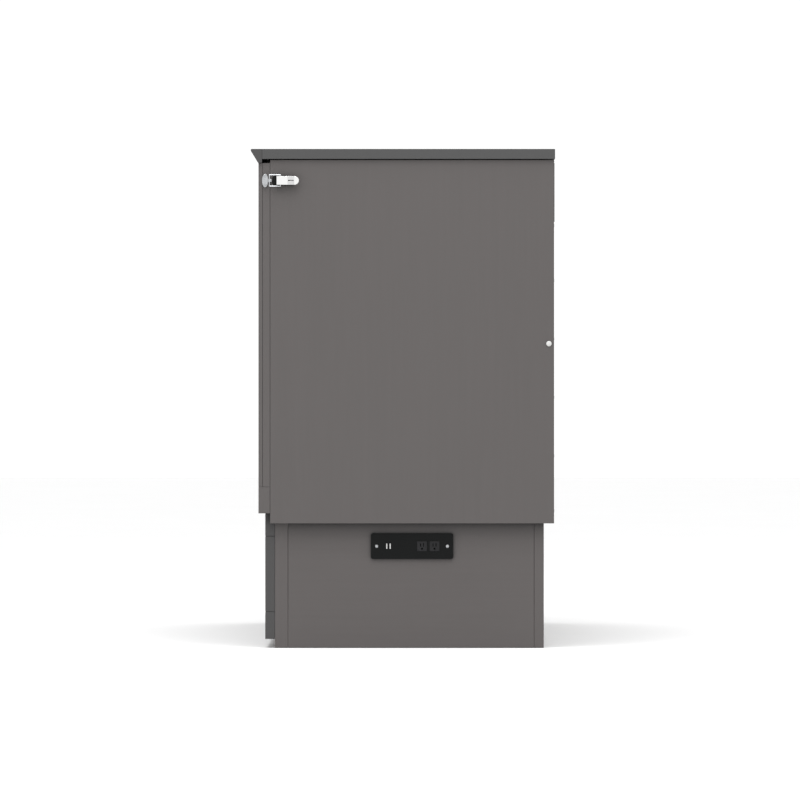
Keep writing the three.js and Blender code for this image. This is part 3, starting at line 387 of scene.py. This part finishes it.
def welt_cloth(name):
    """Corded edging: woven tape with a twist."""
    cloth = Finish(name, IOR=1.4, Sheen_Weight=0.3)
    weave = cloth.add("ShaderNodeTexWave", wave_type="BANDS", bands_direction="DIAGONAL")
    weave.inputs["Scale"].default_value = 160
    cloth.link(cloth.places(shuffled=False), weave.inputs["Vector"])
    fuzz = cloth.noise(cloth.places(), 800, 3, 0.6)
    tone = cloth.mix(weave.outputs["Fac"], *WELT)
    relief = cloth.math("ADD", weave.outputs["Fac"], fuzz)
    return cloth.finish(tone, cloth.range(fuzz, 0.2, 0.8, 0.75, 0.9), cloth.bump(relief, 0.3, 0.0005))


# ------------------------------------------------------------ finishes on the frame

# Painted shade: the lid, base and SHADED greys are darker copies of GREY for parts seen in shade, the lid
# under its downward bevel, the base under the body's overhang and the set-back drawer front; the lid's
# neutral hue is its own
GREY = (0.0830, 0.0758, 0.0740)
SHADED = (0.050, 0.049, 0.049)
LID_SHADED_GREY = (0.0565, 0.0565, 0.0565)
BASE_SHADED_GREY = (0.0828, 0.0750, 0.0732)

CORNER_SHADE = 0.12  # how dark the painted shade gets in the paint's deepest corners
FRONT_CORNER_SHADE = 0.6  # the same on the drawer front and the front posts, where the painted shade is kept lighter
FACE_LOW_RAILS = 0.16  # height of the face frame's two lower rails, the grain runs across below it
FACE_TOP_RAIL = 0.058
LEVER_SHADE_BAND = (0.22, 0.5)  # the band of painted shade across a latch lever, as shares of its length from the rear

PLATING = {"zinc_plate": 1.0, "satin_nickel": 1.25, "nickel_wire": 1.6}  # lightness

# Colour, roughness and grit
MOULDED = {
    "socket_black": ((0.019, 0.019, 0.02), 0.45, 0.1),
    "outlet_black": ((0.0042, 0.0046, 0.0046), 0.5, 0.12),
    "latch_black": ((0.008, 0.008, 0.008), 0.42, 0.1),
    "seal_rubber": ((0.012, 0.012, 0.012), 0.7, 0.2),
    "cap_grey": ((0.52, 0.52, 0.51), 0.42, 0.08),
    "port_grey": ((0.5, 0.5, 0.49), 0.4, 0.08),
}

MOULDED_SLOTS = {
    "outlet_plastic": "outlet_black",
    "cap_plastic": "cap_grey",
    "rubber": "seal_rubber",
    "black_steel": "latch_black",
}

SLOT_OF = {node: piece.material_slots[0].material.name for node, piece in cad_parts.items()}

GRAIN_ALONG = {
    "x": (
        "lid_board", "lid_crown", "door_panel", "door_bottom_rail", "drawer_front", "drawer_back",
        "drawer_bottom", "base_deck", "base_back", "back_panel", "rear_top_rail",
    ),
    "y": ("base_side", "drawer_side"),
}

LAYERS_ALONG = {"x": ("drawer_side",), "z": ("base_deck", "drawer_bottom")}

made = {}


def axis_of(node, table, otherwise):
    for axis, prefixes in table.items():
        if node.startswith(prefixes):
            return axis
    return otherwise


def once(key, make, *details):
    """The material with this name, made the first time that it is asked for."""
    if key not in made:
        made[key] = make(key, *details)
    return made[key]


def wood_color(node):
    if node.startswith("lid"):
        return "lid", LID_SHADED_GREY
    if node.startswith("base"):
        return "base", BASE_SHADED_GREY
    return "body", GREY


def moulding(name):
    return once(name, moulded, *MOULDED[name])


def plating(name):
    return once(name, plated_steel, PLATING[name])


def wood_finish(node, slot):
    grain = axis_of(node, GRAIN_ALONG, "z")
    if node == "door_face_frame":
        low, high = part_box(node)
        rails = low.z + FACE_LOW_RAILS, high.z - FACE_TOP_RAIL
        return once("painted_face_frame", framed_wood, GREY, *rails)
    if node.startswith("base_post_front"):
        return once("painted_front_post", painted_wood, BASE_SHADED_GREY, grain, FRONT_CORNER_SHADE)
    # painted shade: the drawer front takes the darker SHADED grey
    if node == "drawer_front":
        return once("painted_drawer_front", painted_wood, SHADED, grain, FRONT_CORNER_SHADE)
    if slot == "wood":
        part, color = wood_color(node)
        return once(f"painted_{part}_{grain}", painted_wood, color, grain, CORNER_SHADE)
    if slot == "wood_shaded":
        return once(f"painted_shaded_{grain}", painted_wood, SHADED, grain, CORNER_SHADE)
    if slot == "plywood":
        layers = axis_of(node, LAYERS_ALONG, "y")
        return once(f"plywood_{grain}_{layers}", plywood, grain, layers)
    return None


def fitting_finish(node, slot):
    if node == "power_module":
        return moulding("socket_black")
    if slot in MOULDED_SLOTS:
        return moulding(MOULDED_SLOTS[slot])
    if node.startswith("latch_keeper"):
        return plating("satin_nickel")
    if node.startswith("latch_bail"):
        return plating("nickel_wire")
    if node.startswith("latch_lever"):
        low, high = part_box(node)
        rear, front = (high.y + (low.y - high.y) * share for share in LEVER_SHADE_BAND)
        return once("chrome_lever", bright_chrome, (front, rear))
    return plating("zinc_plate")


def finish_of(node):
    """The material of one CAD node, from its slot in the record and its grain direction."""
    slot = SLOT_OF[node]
    return wood_finish(node, slot) or fitting_finish(node, slot)


for node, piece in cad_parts.items():
    if SLOT_OF[node] != "mattress_cloth":
        for place in piece.material_slots:
            place.material = finish_of(node)


# ------------------------------------------------------------ mattress sections

CHANNELS = 5  # quilted channels across each section
INSET = 0.008  # how much smaller than its CAD box a section starts
BOX_CLEARANCE = 0.001  # kept free inside its CAD box
VOXEL = 0.011
PUFF_LIMIT = 0.011  # the furthest that inflation moves the cover
PUFF_FRAMES = 20
WELT_RADIUS = 0.0045
WELT_CORNER = 0.03
WELT_STEPS = 6  # straight runs of a welt round one corner

MATTRESS = (
    # node, body, side of the section that lies on its platform
    ("mattress_head", "head_section", -1),
    ("mattress_mid", "mid_section", 1),
    ("mattress_foot", "foot_section", -1),
)


def linked(name, mesh):
    piece = bpy.data.objects.new(name, mesh)
    bpy.context.scene.collection.objects.link(piece)
    return piece


def block_mesh(name, half):
    """A closed box whose rest side, -Y, is at its full size and whose other sides are set in."""
    mesh = bpy.data.meshes.new(name)
    shell = bmesh.new()
    bmesh.ops.create_cube(shell, size=2)
    for vertex in shell.verts:
        x, y, z = vertex.co
        vertex.co = (
            x * (half.x - INSET),
            -half.y + BOX_CLEARANCE if y < 0 else half.y - INSET,
            z * (half.z - INSET),
        )
    shell.to_mesh(mesh)
    shell.free()
    return mesh


def applied(piece):
    """Bakes the piece's modifiers into its mesh."""
    evaluated = piece.evaluated_get(bpy.context.evaluated_depsgraph_get())
    mesh = bpy.data.meshes.new_from_object(evaluated)
    piece.modifiers.clear()
    piece.data = mesh
    return mesh


def remeshed(piece, voxel):
    modifier = piece.modifiers.new("voxels", "REMESH")
    modifier.mode = "VOXEL"
    modifier.voxel_size = voxel
    applied(piece)


def sewn_places(mesh, half):
    """Points that the inflation must not move: the rest side, both corded edges and the channel seams."""
    top = half.y - INSET
    rest = -half.y + BOX_CLEARANCE
    reach = VOXEL * 0.6
    pitch = 2 * half.z / CHANNELS
    fixed = []
    for vertex in mesh.vertices:
        x, y, z = vertex.co
        at_side = abs(x) > half.x - INSET - reach or abs(z) > half.z - INSET - reach
        on_top = y > top - reach
        channel = (z + half.z) / pitch
        on_seam = on_top and abs(channel - round(channel)) * pitch < reach
        if y < rest + reach or (on_top and at_side) or on_seam:
            fixed.append(vertex.index)
    return fixed


def inflated(piece, half):
    """Runs a short cloth simulation with air pressure, and keeps its result within the section's box."""
    group = piece.vertex_groups.new(name="sewn")
    group.add(sewn_places(piece.data, half), 1.0, "ADD")
    start = [vertex.co.copy() for vertex in piece.data.vertices]
    cloth = piece.modifiers.new("cloth", "CLOTH")
    settings = cloth.settings
    settings.quality = 4
    settings.mass = 0.3
    settings.tension_stiffness = 12
    settings.compression_stiffness = 12
    settings.shear_stiffness = 4
    settings.bending_stiffness = 0.4
    settings.use_pressure = True
    settings.uniform_pressure_force = 4
    settings.vertex_group_mass = "sewn"
    settings.effector_weights.gravity = 0
    cloth.collision_settings.use_collision = False
    for step in range(1, PUFF_FRAMES + 1):
        bpy.context.scene.frame_set(step)
    mesh = applied(piece)
    limits = half - Vector((BOX_CLEARANCE,) * 3)
    for vertex, old in zip(mesh.vertices, start):
        move = vertex.co - old
        if move.length > PUFF_LIMIT:
            move *= PUFF_LIMIT / move.length
        vertex.co = [max(-limit, min(limit, value)) for limit, value in zip(limits, old + move)]


def subdivided(piece):
    piece.modifiers.new("smooth", "SUBSURF").levels = 1
    for polygon in applied(piece).polygons:
        polygon.use_smooth = True


def section_shape(half):
    """One quilted section about the origin, resting on -Y."""
    piece = linked("section_shape", block_mesh("section_shape", half))
    remeshed(piece, VOXEL)
    inflated(piece, half)
    subdivided(piece)
    mesh = piece.data
    bpy.data.objects.remove(piece)
    return mesh


def ring_points(half, level):
    """A rounded rectangle round the section, at one depth."""
    x, z = half.x - INSET - WELT_CORNER, half.z - INSET - WELT_CORNER
    points = []
    for turn, (sx, sz) in enumerate(((1, 1), (-1, 1), (-1, -1), (1, -1))):
        for step in range(WELT_STEPS + 1):
            angle = math.pi / 2 * (turn + step / WELT_STEPS)
            across, up = WELT_CORNER * math.cos(angle), WELT_CORNER * math.sin(angle)
            points.append(Vector((sx * x + across, level, sz * z + up)))
    return points


def welt(name, points, place, body):
    """A corded seam round one edge of a section."""
    curve = bpy.data.curves.new(name, "CURVE")
    curve.dimensions = "3D"
    curve.bevel_depth = WELT_RADIUS
    curve.bevel_resolution = 2
    spline = curve.splines.new("POLY")
    spline.points.add(len(points) - 1)
    for target, point in zip(spline.points, points):
        target.co = (*(place @ point), 1)
    spline.use_cyclic_u = True
    piece = linked(name, curve)
    curve.materials.append(once("welt_cloth", welt_cloth))
    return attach(piece, body)


def build_mattress():
    low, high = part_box("mattress_head")
    half = (high - low) / 2
    pitch = 2 * half.z / CHANNELS
    cover = knit_cover("knit_cover", low.z, pitch)
    shape = section_shape(half)
    for node, body, rest_side in MATTRESS:
        low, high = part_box(node)
        turn = Matrix.Rotation(math.pi if rest_side > 0 else 0, 4, "X")
        place = Matrix.Translation((low + high) / 2) @ turn
        mesh = shape.copy()
        mesh.transform(place)
        mesh.materials.clear()
        mesh.materials.append(cover)
        piece = linked(f"quilted_{node}", mesh)
        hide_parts(node)
        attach(piece, body)
        for edge, level in (("top", half.y - INSET), ("rest", -half.y + INSET)):
            welt(f"welt_{edge}_{node}", ring_points(half, level), place, body)


build_mattress()


# ------------------------------------------------------------ small fittings

# Radius and height of the screw heads
PLATE_SCREW = (0.0035, 0.0012)
BACK_SCREW = (0.0042, 0.0016)
BRACKET_SCREW = (0.0032, 0.001)
KEEPER_SCREW = (0.0024, 0.0009)

# Places on a face, as shares of its node's box
PLATE_SCREWS = ((0, 0.068, 0.5), (0, 0.932, 0.5))
KEEPER_SCREWS = ((0, 0.327, 0.16), (0, 0.327, 0.84))
BRACKET_SCREWS = tuple((0, y, z) for y in (0.2, 0.85) for z in (0.14, 0.86))
BACK_EDGE_X = (0.01, 0.99)
BACK_EDGE_Z = (0.012, 0.988)
BACK_BAYS_X = 6  # spaces between the back panel's screws
BACK_BAYS_Z = 5

HEAD_RINGS = 7
HEAD_SPOKES = 32
SLOT_REACH = 0.68  # of the cross slot, as shares of the head's radius and height
SLOT_HALF_WIDTH = 0.15
SLOT_DEPTH = 0.5

PORT_TONGUES = (("front", 0.1915), ("rear", 0.2333))  # along the outlet plate
TONGUE_HALF_WIDTH = 0.0013
TONGUE_HALF_HEIGHT = 0.105  # as a share of the plate's height
TONGUE_DEPTHS = (0.0035, 0.0002)  # its ends, behind the plate's face
TONGUE_EASE = 0.0005


def screw_mesh(name, spots, outward, radius, height):
    """Domed cross-slot screw heads, one at each spot, facing outward."""
    rings, spokes = HEAD_RINGS, HEAD_SPOKES
    shell = bmesh.new()
    turn = Vector((0, 0, 1)).rotation_difference(outward).to_matrix()
    for spot in spots:
        rows = []
        for ring in range(1, rings + 1):
            share = ring / rings
            row = []
            for spoke in range(spokes):
                angle = 2 * math.pi * spoke / spokes
                u, v = share * math.cos(angle), share * math.sin(angle)
                in_slot = share < SLOT_REACH and min(abs(u), abs(v)) < SLOT_HALF_WIDTH
                dome = math.sqrt(1 - (share * 0.97) ** 2)
                rise = height * (dome - (SLOT_DEPTH if in_slot else 0))
                row.append(shell.verts.new(spot + turn @ Vector((u * radius, v * radius, rise))))
            rows.append(row)
        middle = shell.verts.new(spot + turn @ Vector((0, 0, height * 0.45)))
        for spoke in range(spokes):
            after = (spoke + 1) % spokes
            shell.faces.new((middle, rows[0][spoke], rows[0][after]))
            for inner, outer in zip(rows, rows[1:]):
                shell.faces.new((inner[spoke], outer[spoke], outer[after], inner[after]))
        shell.faces.new(reversed(rows[-1]))
    mesh = bpy.data.meshes.new(name)
    shell.to_mesh(mesh)
    shell.free()
    for polygon in mesh.polygons:
        polygon.use_smooth = len(polygon.vertices) < spokes
    return mesh


def screws(node, body, face, shares, radius, height):
    """Screw heads on one face of a CAD node; shares are places across that face, from 0 to 1."""
    low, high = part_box(node)
    axis, sign = "xyz".index(face[1]), 1 if face[0] == "+" else -1
    spots = []
    for share in shares:
        spot = Vector([a + (b - a) * s for a, b, s in zip(low, high, share)])
        spot[axis] = (high if sign > 0 else low)[axis]
        spots.append(spot)
    outward = Vector([sign if index == axis else 0 for index in range(3)])
    name = f"screws_{node}_{face.replace('+', 'plus_').replace('-', 'minus_')}"
    piece = linked(name, screw_mesh(name, spots, outward, radius, height))
    piece.data.materials.append(plating("zinc_plate"))
    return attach(piece, body)


def build_screws():
    screws("outlet_plate", "cabinet", "+x", PLATE_SCREWS, *PLATE_SCREW)
    low, high = BACK_EDGE_Z
    rows = [low] + [step / BACK_BAYS_Z for step in range(1, BACK_BAYS_Z)] + [high]
    shares = [(x, 0, z) for x in BACK_EDGE_X for z in rows]
    shares += [(x / BACK_BAYS_X, 0, z) for x in range(1, BACK_BAYS_X) for z in BACK_EDGE_Z]
    screws("back_panel", "cabinet", "+y", shares, *BACK_SCREW)
    for side, outward, inward in (("left", "-x", "+x"), ("right", "+x", "-x")):
        screws(f"head_pivot_bracket_{side}", "cabinet", inward, BRACKET_SCREWS, *BRACKET_SCREW)
        screws(f"latch_keeper_{side}", "foot_section", outward, KEEPER_SCREWS, *KEEPER_SCREW)


def slab_mesh(name, low, high, ease):
    """A slab with rounded edges."""
    shell = bmesh.new()
    bmesh.ops.create_cube(shell, size=1)
    middle, size = (low + high) / 2, high - low
    for vertex in shell.verts:
        vertex.co = Vector([m + c * s for m, c, s in zip(middle, vertex.co, size)])
    bmesh.ops.bevel(shell, geom=list(shell.edges), offset=ease, segments=3, profile=0.5, affect="EDGES")
    mesh = bpy.data.meshes.new(name)
    shell.to_mesh(mesh)
    shell.free()
    return mesh


def build_port_tongues():
    """The light tongues in the two upright data ports of the outlet plate."""
    low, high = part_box("outlet_plate")
    middle, length = (low + high) / 2, high.y - low.y
    reach = (high.z - low.z) * TONGUE_HALF_HEIGHT
    deep, shallow = TONGUE_DEPTHS
    for place, share in PORT_TONGUES:
        name = f"port_tongue_{place}"
        y = low.y + length * share
        corner = Vector((high.x - deep, y - TONGUE_HALF_WIDTH, middle.z - reach))
        opposite = Vector((high.x - shallow, y + TONGUE_HALF_WIDTH, middle.z + reach))
        piece = linked(name, slab_mesh(name, corner, opposite, TONGUE_EASE))
        piece.data.materials.append(moulding("port_grey"))
        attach(piece, "cabinet")


build_screws()
build_port_tongues()


# ------------------------------------------------------------ stage, light and camera

FLOOR_HALF = 30
FLOOR_DROP = 0.0005  # keeps the floor just under the posts
AMBIENT = 1.07
OVERHEAD_PLACE = (2.3, -0.2, 4.4)
OVERHEAD_TARGET = (0.5, 0, 0.5)
OVERHEAD_SIZE = (3, 3)
OVERHEAD_POWER = 150


def area_light(name, place, target, size, power):
    light = bpy.data.lights.new(name, "AREA")
    light.shape = "RECTANGLE"
    light.size, light.size_y = size
    light.energy = power
    lamp = linked(name, light)
    lamp.location = place
    lamp.rotation_euler = (Vector(target) - Vector(place)).to_track_quat("-Z", "Y").to_euler()


def build_stage():
    floor_paint = Finish("pale_floor")
    speckle = floor_paint.noise(floor_paint.places(), 3, 3, 0.5)
    tone = floor_paint.mix(speckle, (0.9, 0.9, 0.9), (0.93, 0.93, 0.93))
    mesh = bpy.data.meshes.new("floor")
    corners = [(x * FLOOR_HALF, y * FLOOR_HALF, 0) for x, y in ((-1, -1), (1, -1), (1, 1), (-1, 1))]
    mesh.from_pydata(corners, [], [(0, 1, 2, 3)])
    mesh.materials.append(floor_paint.finish(tone, 0.8))
    floor = linked("floor", mesh)
    floor.location.z = -FLOOR_DROP

    world = bpy.data.worlds.new("studio")
    world.use_nodes = True
    background = world.node_tree.nodes["Background"]
    background.inputs["Color"].default_value = (1, 1, 1, 1)
    background.inputs["Strength"].default_value = AMBIENT
    bpy.context.scene.world = world
    area_light("overhead", OVERHEAD_PLACE, OVERHEAD_TARGET, OVERHEAD_SIZE, OVERHEAD_POWER)


CAMERA_DISTANCE = 14.0
FRAME_WIDTH = 1.7256  # what the picture spans at the near side panel
CAMERA_Y = -0.006
CAMERA_Z = 0.5352
SENSOR_WIDTH = 36
CLIP_END = 100


def build_camera():
    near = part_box("side_panel_right")[1].x
    data = bpy.data.cameras.new("camera")
    data.sensor_width = SENSOR_WIDTH
    data.lens = SENSOR_WIDTH * CAMERA_DISTANCE / FRAME_WIDTH
    data.clip_end = CLIP_END
    camera = linked("camera", data)
    camera.location = (near + CAMERA_DISTANCE, CAMERA_Y, CAMERA_Z)
    camera.rotation_euler = (math.pi / 2, 0, math.pi / 2)
    bpy.context.scene.camera = camera


build_stage()
build_camera()

scene = bpy.context.scene
scene.view_settings.view_transform = "Standard"
scene.view_settings.look = "None"
